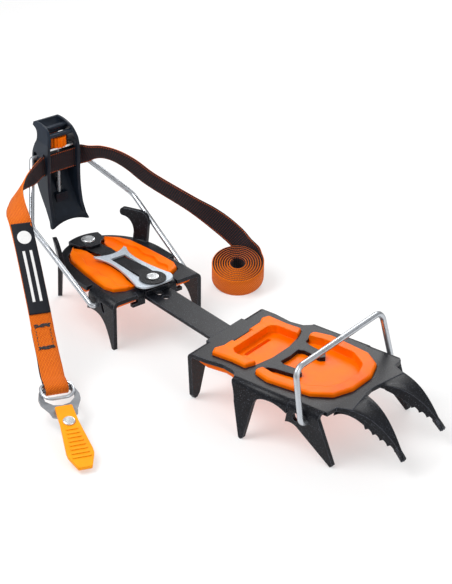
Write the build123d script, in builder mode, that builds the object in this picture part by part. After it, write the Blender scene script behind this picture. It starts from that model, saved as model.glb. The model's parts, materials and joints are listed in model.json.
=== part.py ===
"""Twelve-point strap-on mountaineering crampon for a right boot.

Millimetres, +Z up, +X along the linking bar towards the toe, +Y to the wearer's left.
The sole plane (top of both steel frames) is z = 0 and the origin is the middle of the seat
above the linking bar, just ahead of the rear edge of the front frame.
"""

from build123d import *
import os
from math import asin, atan2, cos, degrees, hypot, radians, sin, tan

# Driving dimensions
STEEL = 3.0                # frame sheet thickness
HALF_WIDTH = 37.5          # half the width of both frames
DROP = 36.0                # depth of the point tips below the sole plane
SEAT_INSET = 6.0           # origin to the rear edge of the front frame
FRAME_GAP = 72.5           # space between the two frames in the size shown
TOE_YAW = 13.0             # front frame turned towards the big toe
HEEL_LENGTH = 92.0
HEEL_ARC = 46.0            # long half axis of the rounded heel
BAR_WIDTH = 20.0
BAR_THICKNESS = 2.5
BAR_TOP = -STEEL - 0.2     # the bar slides just under the frames
HOLE_PITCH = 7.5           # size adjustment step
PIN_X = -5.5               # lock pin, behind the front edge of the heel frame
RIVET_X = -82.5            # rear rivet, on the heel's centre line
TOE_WIRE = 4.0
HEEL_WIRE = 3.8
FIT = 0.05                 # radial clearance of every running fit
GAP = 0.4                  # clearance round the rubbery plates
BASE_TOP = -STEEL - 0.1    # rubbery plates where they lie under a frame
BASE_BOTTOM = -8.6
RIM_TOP = 2.6              # raised rims above the sole plane
TOE_PIVOT = (99.2, -9.6)   # toe bail feet, in the front frame's x and z
HEEL_PIVOT = (-20.2, -9.6)
AXLE = (-124.7, 56.0)      # bail crossbar that carries the lever
ROD_X = -117.5             # adjusting rod, upright inside the lever
LEVER_HALF = 14.0          # half the width of the heel lever
CHANNEL_HALF = 11.4        # half the width of the hollow inside it
TRAVEL = 2.5               # lever adjustment either way
STRAP_WIDTH = 15.0
STRAP_THICKNESS = 1.5
STRAP_X = -113.6           # strap inside the lever, in the heel's frame
STRAP_Z = 54.0
TAIL_HEADING = -23.8       # buckle end of the strap, seen from above
BUCKLE_HEADING = -20.4     # the buckle hangs a little askew in its loop
BUCKLE_SLOPE = 11.0        # and leans down to the ground
BIG = 300.0                # longer than anything, for cutting

TOE = Plane(
    origin=(-SEAT_INSET, 0, 0),
    x_dir=(cos(radians(TOE_YAW)), sin(radians(TOE_YAW)), 0),
    z_dir=(0, 0, 1),
)
HEEL = Plane(origin=(-SEAT_INSET - FRAME_GAP, 0, 0))
TAIL = Plane(
    origin=(-132.6, -69.6, 0),
    x_dir=(cos(radians(TAIL_HEADING)), sin(radians(TAIL_HEADING)), 0),
    z_dir=(0, 0, 1),
)
BUCKLE = Plane(
    origin=TAIL.from_local_coords((100.9, 0, -18.5)),
    x_dir=(cos(radians(BUCKLE_HEADING)), sin(radians(BUCKLE_HEADING)), -tan(radians(BUCKLE_SLOPE))),
    z_dir=(
        sin(radians(BUCKLE_SLOPE)) * cos(radians(BUCKLE_HEADING)),
        sin(radians(BUCKLE_SLOPE)) * sin(radians(BUCKLE_HEADING)),
        cos(radians(BUCKLE_SLOPE)),
    ),
)
TAIL_PATH = [(-23, 60), (0, 50), (25, 28), (49, 5.5), (75, -9.5), (95.7, -17.5)]
LABEL_START = TAIL_PATH[1]
LABEL_END = TAIL_PATH[3]
ROLL = Plane(origin=(-97.7, 85.3, -16.6), x_dir=(1, 0, -0.253), z_dir=(0.24, -0.19, 0.95))
ROLL_RADIUS = 18.5
ROLL_CORE = 4.5
LOOP_HEIGHT = 5.4          # inside the end loop of the webbing
PLATE_TOP = -0.4           # buckle parts, in the buckle's own frame
PLATE_THICKNESS = 1.6
RING_WIRE = 2.2
TAB_THICKNESS = 2.2
TAB_RIVET_X = 35.5
TAB_RIVET_RADIUS = 1.45


def side(base, y=0.0):
    """Upright plane along the base plane's x axis: sketch axes are its x and z."""
    return Plane(origin=base.from_local_coords((0, y, 0)), x_dir=base.x_dir, z_dir=-base.y_dir)


def cross(base, x=0.0):
    """Upright plane across the base plane: sketch axes are its y and z."""
    return Plane(origin=base.from_local_coords((x, 0, 0)), x_dir=base.y_dir, z_dir=base.x_dir)


def turned(base, x, y, turn=0.0, z=0.0):
    """The base plane moved to a local point and turned about its own z axis."""
    moved = Plane(origin=base.from_local_coords((x, y, z)), x_dir=base.x_dir, z_dir=base.z_dir)
    return moved.rotated((0, 0, turn))


def between(start, end, share):
    """Point part of the way along a straight line."""
    start = Vector(*start)
    return start + (Vector(*end) - start) * share


def save(block, name):
    """Name a finished part and write its file."""
    block.part.label = name
    export_step(block.part, f"parts/{name}.step")


def mirrored_outline(half, corner=0.0):
    """Closed face from its left half, whose first and last points lie on the centre line."""
    with BuildSketch() as face:
        with BuildLine():
            Polyline(*half, *[(x, -y) for x, y in reversed(half[1:-1])], close=True)
        make_face()
        if corner:
            off_axis = face.vertices().filter_by(lambda v: abs(v.Y) > 0.1)
            fillet(off_axis, corner)
    return face.sketch


def bent_tab(line, outline, radius, angle, root=4.0, reach=45.0):
    """Sheet tab bent down along a bend line (up for a negative angle) and cut to an outline."""
    with BuildPart() as tab:
        with BuildSketch(cross(line)):
            with BuildLine():
                flat = Line((-root, -STEEL / 2), (0, -STEEL / 2))
                bend = JernArc(flat @ 1, flat % 1, radius - STEEL / 2, -angle)
                Line(bend @ 1, bend @ 1 + (bend % 1) * reach)
            trace(line_width=STEEL)
        extrude(amount=BIG / 4, both=True)
        with BuildSketch(side(line)):
            add(outline)
        extrude(amount=BIG / 4, both=True, mode=Mode.INTERSECT)
    return tab.part


def wire(points, diameter, radius):
    """Round wire bent along a chain of points, with one bend radius or one for each bend."""
    with BuildPart() as bar:
        with BuildLine():
            path = FilletPolyline(*points, radius=radius)
        with BuildSketch(Plane(origin=path @ 0, z_dir=path % 0)):
            Circle(diameter / 2)
        sweep(path=path)
    return bar.part


# Front section


def rear_point_outline():
    """Blunt tapering blade under a rear corner of the front frame."""
    with BuildSketch() as outline:
        with BuildLine():
            Polyline((-10, 1), (-9.5, -5), (-1, -33.5), (1.5, -DROP), (4, -DROP), (6.2, -33), (8.5, -4),
                     (8.5, 1), close=True)
        make_face()
    return outline.sketch


def side_point_outline():
    """Side point with a wide root that runs on into a shallow stiffening flange."""
    with BuildSketch() as outline:
        with BuildLine():
            Line((-13, 1), (-13, -1.5))
            Spline((-13, -1.5), (-10.4, -7), (-8.6, -14))
            Polyline((-8.6, -14), (-1.4, -DROP + 0.8), (0.2, -DROP), (2, -DROP + 1), (5.4, -13))
            Spline((5.4, -13), (9, -6.6), (15, -5), (24, -5.6), (31, -8))
            Polyline((31, -8), (31, 1), (-13, 1))
        make_face()
    return outline.sketch


def bail_point_outline():
    """Side plate that carries the toe bail: barb, two holes and a forward-raked point."""
    with BuildSketch() as outline:
        with BuildLine():
            Polyline((-12, 1), (-11, -8), (-12.6, -15.5))
            ThreePointArc((-12.6, -15.5), (-7.5, -14.8), (-2.5, -17.2))
            Polyline((-2.5, -17.2), (21.5, -DROP), (23.4, -DROP + 1.6), (12.6, -5))
            ThreePointArc((12.6, -5), (13.4, -1.2), (16, 1))
            Line((16, 1), (-12, 1))
        make_face()
        with Locations((-4.4, -9.2)):
            Ellipse(2.3, 3.1, mode=Mode.SUBTRACT)
        with Locations((TOE_PIVOT[0] - 96, TOE_PIVOT[1])):
            Circle(TOE_WIRE / 2 + FIT, mode=Mode.SUBTRACT)
    return outline.sketch


def serrated_flange(root, start):
    """Side view of a front point's flange, from its root to the tip, with a row of teeth below."""
    gaps = 4
    first = (23.6, -11.2)
    last = (43.4, -21.2)
    shoulder = (22.6, -8.4)
    tip = (50.4, -25.4)
    with BuildSketch() as flange:
        with BuildLine():
            Spline(start, (14, -0.5), (27.4, -3.6), (39.6, -12.2), tip)
            Line(tip, last)
            for gap in range(gaps, 0, -1):
                crest = between(first, last, gap / gaps)
                next_crest = between(first, last, (gap - 1) / gaps)
                notch = next_crest + Vector(2, 1.1)
                ThreePointArc(crest, between(crest, notch, 0.5) + Vector(0.4, 0.4), notch)
                Line(notch, next_crest)
            Line(first, shoulder)
            Spline(shoulder, *root)
            Line(root[-1], start)
        make_face()
    return flange.sketch


def front_point():
    """One front point: a top strip that curves down to the tip between two serrated flanges."""
    outer = turned(TOE, 108, 31.5, degrees(atan2(-9.6, 49.7)))
    inner = turned(TOE, 109.7, 7.6, degrees(atan2(12.2, 33)))
    with BuildPart() as point:
        with BuildSketch(side(TOE)):
            with BuildLine():
                top = Spline((110, 0), (122, -0.4), (135, -3.4), (147, -12), (157.6, -25.4))
                tip = Line(top @ 1, (156.2, -25.4))
                under = Spline(tip @ 1, (145.4, -14.6), (134, -6.6), (122, -3.5), (110, -STEEL))
                Line(under @ 1, top @ 0)
            make_face()
        extrude(amount=-BIG / 4)
        with BuildSketch(TOE.offset(-DROP)):
            with BuildLine():
                Polyline((111, 8), (119, 8), (152, 20.2), (157.8, 20.2), (157.8, 21.9), (111, 31), close=True)
            make_face()
        extrude(amount=2 * DROP, mode=Mode.INTERSECT)
        with BuildSketch(side(outer)):
            add(serrated_flange([(17, -5.6), (8, -4.6), (2.4, -7.6)], (3, -0.4)))
        extrude(amount=STEEL)
        with BuildSketch(side(inner)):
            add(serrated_flange([(18, -6.4), (11, -3.8)], (11, -0.4)))
        extrude(amount=STEEL)
    return point.part


def rear_window():
    """Opening behind the cross member of the front frame."""
    half = [(14.2, 0), (14.2, 19), (11.6, 25), (14, 30.6), (30, 29.6), (41, 30.4), (43.6, 24), (46.6, 9),
            (46.6, 0)]
    return mirrored_outline(half, 1.8)


def main_window():
    """Opening ahead of the cross member."""
    half = [(54, 0), (53.4, 9), (50.4, 24), (47.4, 31.6), (62, 35.4), (93, 32), (105, 24), (110.4, 10),
            (110.4, 0)]
    return mirrored_outline(half, 4)


def cross_member_tongues(grow=0.0):
    """Two short tongues that lean on the rubbery plate ahead of the cross member."""
    with BuildSketch() as tongues:
        with BuildLine():
            Polyline((48, 7), (48, 22), (56, 18.6), (70, 16.6), (72.6, 12.6), (70, 10), (57, 11), close=True)
        make_face()
        mirror(about=Plane.XZ)
        if grow:
            offset(amount=grow)
    return tongues.sketch


def build_front_frame():
    """Steel front frame with its eight points."""
    rear_tab = bent_tab(turned(TOE, 4, 29, 90), rear_point_outline(), 4, 89)
    side_tab = bent_tab(turned(TOE, 54.5, 41), side_point_outline(), 5, 78)
    bail_tab = bent_tab(turned(TOE, 96, 40.2), bail_point_outline(), 5, 93)
    claw = front_point()
    outline = [(0, 0), (0, 18.5), (4, 19), (4, HALF_WIDTH), (14, HALF_WIDTH), (28, 35.4), (37, 37),
               (41.5, 41), (85, 41), (85, 40.2), (112, 40.2), (113, 32), (122, 28), (119, 12.5), (117, 0)]
    with BuildPart() as frame:
        with BuildSketch(TOE.offset(-STEEL)):
            add(mirrored_outline(outline))
        extrude(amount=STEEL)
        for tab in (rear_tab, side_tab, bail_tab, claw):
            add(tab)
            add(mirror(tab, about=side(TOE), mode=Mode.PRIVATE))
        with BuildSketch(TOE.offset(-STEEL)):
            add(rear_window())
            add(main_window())
            add(cross_member_tongues(), mode=Mode.SUBTRACT)
        extrude(amount=STEEL, mode=Mode.SUBTRACT)
    save(frame, "front_frame")


def bar_space():
    """Room for the linking bar and its hooked tip inside the front rubbery plate."""
    with BuildPart() as space:
        with BuildSketch(Plane.XY.offset(BASE_BOTTOM + 2.4)):
            with Locations((-20, 0)):
                Rectangle(60, BAR_WIDTH + 2 * GAP)
        extrude(amount=BIG / 10)
        with BuildSketch(TOE.offset(BASE_BOTTOM + 2.4)):
            with Locations((9, -1.5)):
                Rectangle(17, BAR_WIDTH - 1)
        extrude(amount=BIG / 10)
    return space.part


def build_front_plate():
    """Rubbery anti-snow plate under the front frame, raised through its two openings."""
    base = [(5, 0), (5, 33), (14, 35.2), (28, 33.4), (40, 36), (50, 38.4), (66, 38.2), (78, 37.6), (94, 37),
            (105, 30), (112, 17), (113, 0)]
    rear_basin = [(22.5, 0), (22.5, 19), (27, 22.5), (48, 22.5), (48, 0)]
    main_basin = [(44, 0), (44, 24), (62, 27.4), (86, 25.5), (98, 17.5), (102.4, 7), (102.4, 0)]
    with BuildPart() as plate:
        with BuildSketch(TOE.offset(BASE_BOTTOM)):
            add(mirrored_outline(base, 2.5))
        extrude(amount=BASE_TOP - BASE_BOTTOM)
        bottom = plate.edges().group_by(Axis.Z)[0]
        fillet(bottom, 3)
        with BuildSketch(TOE.offset(BASE_TOP - 1)):
            add(rear_window())
            add(main_window())
            offset(amount=-GAP)
        extrude(amount=RIM_TOP - BASE_TOP + 1)
        fillet(plate.faces().filter_by(Plane.XY).group_by(Axis.Z)[-1].edges(), 1.4)
        with BuildSketch(TOE.offset(BASE_TOP)):
            add(mirrored_outline(rear_basin, 3))
            add(mirrored_outline(main_basin, 6))
        extrude(amount=BIG / 10, mode=Mode.SUBTRACT)
        with BuildSketch(TOE.offset(BASE_BOTTOM)):
            with Locations((28, 0)):
                SlotCenterToCenter(24, 2.6, rotation=90)
        extrude(amount=BIG / 10, mode=Mode.SUBTRACT)
        with BuildSketch(TOE.offset(BASE_TOP)):
            add(cross_member_tongues(3 * GAP))
        extrude(amount=BIG / 10, mode=Mode.SUBTRACT)
        add(bar_space(), mode=Mode.SUBTRACT)
    save(plate, "front_anti_snow_plate")


def build_linking_bar():
    """Flat adjustment bar with its row of lock holes and a hooked tip in the front frame."""
    rear_end = HEEL.origin.X - 66
    first_hole = HEEL.origin.X + PIN_X
    holes = 7
    with BuildPart() as bar:
        with BuildSketch(Plane.XY.offset(BAR_TOP - BAR_THICKNESS)):
            with Locations((rear_end / 2, 0)):
                RectangleRounded(-rear_end, BAR_WIDTH, 2)
            with Locations((2, 0)):
                Rectangle(10, BAR_WIDTH)
        extrude(amount=BAR_THICKNESS)
        with BuildSketch(TOE.offset(BAR_TOP - BAR_THICKNESS)):
            with Locations((12, -1.5)):
                Rectangle(10, BAR_WIDTH - 3)
        extrude(amount=BAR_THICKNESS)
        with BuildSketch(TOE.offset(BAR_TOP - BAR_THICKNESS)):
            with Locations((15.8, -1.5)):
                Rectangle(2.4, BAR_WIDTH - 3)
        extrude(amount=BAR_THICKNESS + STEEL - 0.4)
        with BuildSketch(Plane.XY.offset(BAR_TOP)):
            with Locations(*[(first_hole + (n - 4) * HOLE_PITCH, 0) for n in range(holes)]):
                Circle(2.6)
        extrude(amount=-BAR_THICKNESS, mode=Mode.SUBTRACT)
    save(bar, "linking_bar")


def build_toe_bail():
    """Wire bail that holds the boot toe, sprung into the two side plates."""
    x, z = TOE_PIVOT
    top_x = x - 7.5
    top_z = z + 35.3
    chain = [(x, 40, z), (x, 49.4, z), (top_x, 46, top_z), (top_x, -46, top_z), (x, -49.4, z), (x, -40, z)]
    with BuildPart() as bail:
        add(wire([TOE.from_local_coords(point) for point in chain], TOE_WIRE, (4, 7, 7, 4)))
    save(bail, "toe_bail_wire")


# Heel section


def heel_outline(inset=0.0, front=0.0):
    """Heel frame seen from above: straight sides and a half ellipse behind."""
    with BuildSketch() as face:
        half = HALF_WIDTH - inset
        with BuildLine():
            EllipticalCenterArc((-HEEL_ARC, 0), HEEL_LENGTH - HEEL_ARC - inset, half, 90, arc_size=180)
            Polyline((-HEEL_ARC, -half), (front, -half), (front, half), (-HEEL_ARC, half))
        make_face()
    return face.sketch


def heel_window():
    """Single large opening of the heel frame, with a tongue left for the rear rivet."""
    half = [(-9, 0), (-9, 20), (-13, 27.6), (-20, 30.2), (-32, 29.8), (-48, 28.6), (-66, 26.4), (-75.5, 22),
            (-84, 12.6), (-86, 6), (-86, 0)]
    with BuildSketch() as window:
        add(mirrored_outline(half, 1.5))
        with Locations((RIVET_X, 0)):
            Circle(8.5, mode=Mode.SUBTRACT)
    return window.sketch


def corner_point_outline():
    """Front point of the heel, with the bail hole, a spare slot and a barb."""
    with BuildSketch() as outline:
        with BuildLine():
            Polyline((-29, 1), (-29, -9), (-31, -16.2))
            Spline((-31, -16.2), (-24, -14.6), (-14, -16.6), (-8.6, -22.6), (-2.8, -DROP))
            Polyline((-2.8, -DROP), (-0.2, -DROP), (0, -8), (0, 1), (-29, 1))
        make_face()
        with Locations(HEEL_PIVOT):
            Circle(HEEL_WIRE / 2 + FIT, mode=Mode.SUBTRACT)
        with Locations((-12.6, -8.4)):
            SlotCenterToCenter(5, 3, rotation=113, mode=Mode.SUBTRACT)
    return outline.sketch


def rake_point_outline():
    """Rear point of the heel, raked backwards."""
    with BuildSketch() as outline:
        with BuildLine():
            Polyline((-6.5, 1), (-7.5, -10), (-10.4, -DROP + 0.6), (-9, -DROP), (-7.4, -DROP + 0.6), (5, -6),
                     (6.5, 1), close=True)
        make_face()
    return outline.sketch


def guide_outline(arm):
    """Upright guide for the boot heel; the inner one carries a rearward arm."""
    with BuildSketch() as outline:
        with BuildLine():
            Polyline((-5.75, -2), (5.75, -2), (5.75, 13.5))
            ThreePointArc((5.75, 13.5), (3.6, 18.6), (-1.5, 20.8))
            if arm:
                Line((-1.5, 20.8), (-15.6, 20.4))
                ThreePointArc((-15.6, 20.4), (-18.4, 17.6), (-15.6, 14.9))
                Spline((-15.6, 14.9), (-10, 13.2), (-6.6, 9), (-5.75, 3))
                Line((-5.75, 3), (-5.75, -2))
            else:
                Polyline((-1.5, 20.8), (-5.75, 20.8), (-5.75, -2))
        make_face()
    return outline.sketch


def bar_hook_outline():
    """Guide beside the linking bar under the front edge of the heel frame."""
    with BuildSketch() as outline:
        with Locations((0, -3.6)):
            Rectangle(5.6, 10)
        with Locations((4.6, -7.4)):
            Rectangle(6, 2.4)
    return outline.sketch


def build_heel_frame():
    """Steel heel frame with its four points, boot guides and bar hooks."""
    corner = bent_tab(turned(HEEL, 0, 32.5), corner_point_outline(), 5, 90)
    rake = bent_tab(turned(HEEL, -77, 24.6, 39), rake_point_outline(), 4, 86)
    bar_hook = bent_tab(turned(HEEL, -4, -13.4, -90), bar_hook_outline(), 4, 90)
    inner_guide = bent_tab(turned(HEEL, -64.5, 31.6, 22), guide_outline(True), 4, -80)
    outer_guide = bent_tab(turned(HEEL, -64.5, 31.6, 22), guide_outline(False), 4, -80)
    with BuildPart() as frame:
        with BuildSketch(HEEL.offset(-STEEL)):
            add(heel_outline())
            with Locations((-14, 37.5), (-14, -37.5)):
                Rectangle(34, 10, mode=Mode.SUBTRACT)
            with Locations((0, 0)):
                Rectangle(8, 34, mode=Mode.SUBTRACT)
            with Locations((-2, 0)):
                Rectangle(4, 20)
        extrude(amount=STEEL)
        for tab in (corner, rake, bar_hook):
            add(tab)
            add(mirror(tab, about=side(HEEL), mode=Mode.PRIVATE))
        add(inner_guide)
        add(mirror(outer_guide, about=side(HEEL), mode=Mode.PRIVATE))
        with BuildSketch(HEEL.offset(-STEEL)):
            add(heel_window())
            with Locations((PIN_X, 0)):
                Circle(3)
            with Locations((RIVET_X, 0)):
                Circle(2.25)
        extrude(amount=STEEL, mode=Mode.SUBTRACT)
    save(frame, "heel_frame")


def build_heel_plate():
    """Rubbery anti-snow plate under the heel frame with two raised lobes."""
    lobe = [(-10, 12), (-10, 19), (-13.6, 26.6), (-20, 29.2), (-32, 28.8), (-48, 27.6), (-66, 25.4),
            (-74.6, 21.2), (-82.4, 13.6), (-77, 10), (-72, 8.2), (-30, 8.2), (-20, 11)]
    with BuildPart() as plate:
        with BuildSketch(HEEL.offset(BASE_BOTTOM)):
            add(heel_outline(2.2, -4.6))
            with Locations((-16, 37.5), (-16, -37.5)):
                Rectangle(40, 12.4, mode=Mode.SUBTRACT)
            with Locations((-92, 0)):
                Rectangle(8, BIG, mode=Mode.SUBTRACT)
        extrude(amount=BASE_TOP - BASE_BOTTOM)
        fillet(plate.edges().group_by(Axis.Z)[0], 3)
        with BuildSketch(HEEL.offset(BASE_TOP - 1)):
            with BuildLine():
                Polyline(*lobe, close=True)
            make_face()
            mirror(about=Plane.XZ)
        extrude(amount=RIM_TOP - BASE_TOP + 1)
        top_rim = plate.edges().filter_by_position(Axis.Z, RIM_TOP - 0.01, RIM_TOP + 0.01)
        fillet(top_rim, 1.5)
        with BuildSketch(HEEL.offset(1)):
            with BuildLine():
                Spline((-2, 15), (-12, 17.4), (-18, 22), (-26, 20.4), (-34, 22.4), (-44, 20), (-52, 21.6),
                       (-62, 18.4), (-72, 17), (-86, 9))
                Polyline((-86, 9), (-86, 0), (-2, 0), (-2, 15))
            make_face()
            mirror(about=Plane.XZ)
        extrude(amount=BIG / 10, mode=Mode.SUBTRACT)
        with BuildSketch(HEEL.offset(BASE_BOTTOM + 2.4)):
            with Locations((-HEEL_LENGTH / 2, 0)):
                Rectangle(HEEL_LENGTH + 10, BAR_WIDTH + 2 * GAP)
        extrude(amount=BASE_TOP - BASE_BOTTOM - 2.4, mode=Mode.SUBTRACT)
    save(plate, "heel_anti_snow_plate")


def build_spring_clamp():
    """Scalloped plate that bridges the root of the leaf spring."""
    inset = 0.6
    with BuildPart() as clamp:
        with BuildSketch(HEEL.offset(1.8)):
            with BuildLine():
                rim = EllipticalCenterArc((-HEEL_ARC, 0), HEEL_LENGTH - HEEL_ARC - inset, HALF_WIDTH - inset,
                                          160, arc_size=40)
                Polyline(rim @ 1, (-84, -12.2), (-78, -10.5), (-76, -6.5), (-73, -4), (-73, 4), (-76, 6.5),
                         (-78, 10.5), (-84, 12.2), rim @ 0)
            make_face()
        extrude(amount=1.5)
        with BuildSketch(HEEL):
            with GridLocations(0, 21, 1, 2):
                with Locations((-88.2, 0)):
                    Rectangle(2.6, 3)
        extrude(amount=1.8)
        with BuildSketch(HEEL.offset(1.8)):
            with Locations((RIVET_X, 0)):
                Circle(2.25)
        extrude(amount=1.5, mode=Mode.SUBTRACT)
    save(clamp, "spring_clamp")


def build_rear_rivet():
    """Rivet that holds the clamp to the heel frame, flush underneath."""
    with BuildPart() as rivet:
        with BuildSketch(HEEL.offset(-STEEL)):
            with Locations((RIVET_X, 0)):
                Circle(2.25)
        extrude(amount=STEEL + 3.3)
        with BuildSketch(HEEL.offset(3.3)):
            with Locations((RIVET_X, 0)):
                Circle(5)
        extrude(amount=1.4)
        fillet(rivet.faces().sort_by(Axis.Z)[-1].edges(), 1)
    save(rivet, "rear_rivet")


# Length lock


def build_leaf_spring():
    """Black leaf spring that presses the lock pin down."""
    with BuildPart() as spring:
        with BuildSketch(side(HEEL)):
            with BuildLine():
                Polyline((-90, 0.9), (-72, 0.9), (-60, 2.5), (-46, 2.5), (-20, 5.4), (4.5, 5.4))
            trace(line_width=0.9)
        extrude(amount=BIG / 10, both=True)
        with BuildSketch(HEEL):
            with Locations((RIVET_X, 0)):
                Circle(7)
            with Locations((PIN_X, 0)):
                Circle(9.3)
            with Locations(((RIVET_X - 62) / 2, 0)):
                Rectangle(RIVET_X * -1 - 62, 12.6)
            with Locations(((PIN_X - 70) / 2, 0)):
                Rectangle(PIN_X + 70, 11.2)
        extrude(amount=BIG / 10, mode=Mode.INTERSECT)
        with BuildSketch(HEEL):
            with Locations((RIVET_X, 0)):
                Circle(2.75)
            with Locations((PIN_X, 0)):
                Circle(2.5)
        extrude(amount=BIG / 10, mode=Mode.SUBTRACT)
    save(spring, "lock_leaf_spring")


def build_lock_plate():
    """Waisted release plate that a finger lifts to free the bar."""
    with BuildPart() as plate:
        with BuildSketch(HEEL.offset(3.3)):
            with BuildLine():
                ThreePointArc((-57.5, 13), (-52.6, 0), (-57.5, -13))
                Line((-57.5, -13), (-54.5, -13.4))
                Spline((-54.5, -13.4), (-46, -10.2), (-32, -9.8), (-16, -12.2), (-5, -14.8))
                Spline((-5, -14.8), (0.4, -12.6), (3, 0), (0.4, 12.6), (-5, 14.8))
                Spline((-5, 14.8), (-16, 12.2), (-32, 9.8), (-46, 10.2), (-54.5, 13.4))
                Line((-54.5, 13.4), (-57.5, 13))
            make_face()
            with Locations((-30, 0)):
                Rectangle(33, 12.4, mode=Mode.SUBTRACT)
            with Locations((PIN_X, 0)):
                Circle(2.5, mode=Mode.SUBTRACT)
        extrude(amount=1.5)
        fillet(plate.faces().sort_by(Axis.Z)[-1].outer_wire().edges(), 0.5)
    save(plate, "lock_plate")


def build_lock_pin():
    """Pin riveted through the lock plate and the end of the leaf spring."""
    with BuildPart() as pin:
        with BuildSketch(HEEL.offset(-STEEL + 0.1)):
            with Locations((PIN_X, 0)):
                Circle(2.5)
        extrude(amount=STEEL + 5.9)
        with BuildSketch(HEEL.offset(5.95)):
            with Locations((PIN_X, 0)):
                Circle(4.4)
        extrude(amount=1.1)
        fillet(pin.faces().sort_by(Axis.Z)[-1].edges(), 0.7)
    save(pin, "lock_pin")


# Heel bail and lever


def build_heel_bail():
    """Long wire bail from the heel frame up to the lever."""
    x, z = HEEL_PIVOT
    axle_x, axle_z = AXLE
    chain = [(x, 32.6, z), (x, 40.6, z), (-87.5, 43.4, 25), (axle_x, 17, axle_z), (axle_x, -17, axle_z),
             (-87.5, -43.4, 25), (x, -40.6, z), (x, -32.6, z)]
    with BuildPart() as bail:
        add(wire([HEEL.from_local_coords(point) for point in chain], HEEL_WIRE, (2.6, 12, 2.6, 2.6, 12, 2.6)))
    save(bail, "heel_bail_wire")


def build_carriage():
    """Threaded block that carries the lever on the bail crossbar."""
    axle_z = AXLE[1]
    with BuildPart() as block:
        with BuildSketch(HEEL.offset(axle_z - 6)):
            with Locations((-121.5, 0)):
                Rectangle(12.4, 18)
        extrude(amount=10)
        with BuildSketch(HEEL.offset(axle_z - 6)):
            with Locations((ROD_X, 0)):
                Circle(1.75 + FIT)
        extrude(amount=10, mode=Mode.SUBTRACT)
        with BuildSketch(side(HEEL, -9)):
            with Locations(AXLE):
                Circle(HEEL_WIRE / 2 + FIT)
        extrude(amount=-18, mode=Mode.SUBTRACT)
        chamfer(block.edges().filter_by(Axis.Z), 0.8)
    save(block, "tension_carriage")


def lever_front_view():
    """Lever seen from the boot: a waisted column on a flared foot with a scooped edge."""
    half = [(16.4, 7), (14.8, 12), (LEVER_HALF, 20), (LEVER_HALF, 60), (13, 70), (10, 82)]
    with BuildSketch() as view:
        with BuildLine():
            ThreePointArc((-16.4, 7), (0, 11), (16.4, 7))
            Polyline(*half, *[(-y, z) for y, z in reversed(half)])
        make_face()
    return view.sketch


def lever_channel():
    """Hollow of the lever, open towards the boot and narrowing to the finger lip."""
    half = [(CHANNEL_HALF + 1.4, 7), (CHANNEL_HALF, 20), (CHANNEL_HALF, 66), (9.8, 72), (7.6, 84)]
    with BuildPart() as hollow:
        with BuildSketch(side(HEEL)):
            with BuildLine():
                Spline((-103, 9.6), (-112, 20.6), (-119.4, 32.6), (-124.4, 44), (-126.4, 54), (-125, 62),
                       (-121.6, 70))
                Spline((-121.6, 70), (-122.4, 75), (-127.6, 79), (-128.2, 84))
                Polyline((-128.2, 84), (-95, 84), (-95, 9.6), (-103, 9.6))
            make_face()
        extrude(amount=BIG / 10, both=True)
        with BuildSketch(cross(HEEL, -140)):
            Polygon(*half, *[(-y, z) for y, z in reversed(half)], align=None)
        extrude(amount=60, mode=Mode.INTERSECT)
    return hollow.part


def build_lever():
    """Plastic heel lever: a channel open towards the boot with a finger lip and a scooped foot."""
    slot_height = HEEL_WIRE + 2 * TRAVEL + 0.6
    with BuildPart() as lever:
        with BuildSketch(side(HEEL)):
            with BuildLine():
                Spline((-106, 8), (-114.4, 20), (-121.8, 32), (-127, 44), (-129, 54), (-127.6, 63),
                       (-124, 70))
                Spline((-124, 70), (-125, 75), (-131.4, 78.6))
                Line((-131.4, 78.6), (-131, 81))
                Spline((-131, 81), (-121, 81), (-113, 77.6), (-109.6, 70), (-109.4, 55), (-110, 34),
                       (-107, 17), (-103.6, 8))
                Line((-103.6, 8), (-106, 8))
            make_face()
        extrude(amount=BIG / 10, both=True)
        with BuildSketch(cross(HEEL, -140)):
            add(lever_front_view())
        extrude(amount=50, mode=Mode.INTERSECT)
        add(lever_channel(), mode=Mode.SUBTRACT)
        with BuildSketch(side(HEEL)):
            with Locations((-113.8, 74.6), (-119.6, 78.2)):
                RectangleRounded(4, 2.6, 1)
        extrude(amount=9.8, both=True)
        with BuildSketch(HEEL.offset(21)):
            with Locations((ROD_X, 0)):
                Rectangle(8.6, 10)
        extrude(amount=8)
        with BuildSketch(HEEL.offset(46)):
            with Locations((-126, 0)):
                Rectangle(14, 18.6)
        extrude(amount=27, mode=Mode.SUBTRACT)
        with BuildSketch(side(HEEL)):
            with Locations(AXLE):
                RectangleRounded(HEEL_WIRE + 0.6, slot_height, 2.1)
            with Locations((STRAP_X, STRAP_Z)):
                Rectangle(STRAP_THICKNESS + 1, STRAP_WIDTH + 1.6)
        extrude(amount=BIG / 4, both=True, mode=Mode.SUBTRACT)
        with BuildSketch(HEEL.offset(23)):
            with Locations((ROD_X, 0)):
                Circle(1.75 + FIT)
        extrude(amount=BIG / 10, mode=Mode.SUBTRACT)
    save(lever, "heel_lever")


def build_bearing_plate():
    """Steel strip across the lever that carries the thumbwheel."""
    with BuildPart() as strip:
        with BuildSketch(HEEL.offset(63.2)):
            with Locations((ROD_X, 0)):
                Rectangle(7, 2 * CHANNEL_HALF - 0.4)
                Circle(1.75 + FIT, mode=Mode.SUBTRACT)
        extrude(amount=1.4)
    save(strip, "bearing_strip")


def build_adjusting_rod():
    """Threaded rod that draws the carriage up and down; the thread is left plain."""
    with BuildPart() as rod:
        with BuildSketch(HEEL.offset(23.4)):
            with Locations((ROD_X, 0)):
                Circle(1.75)
        extrude(amount=49)
    save(rod, "adjusting_rod")


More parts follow.
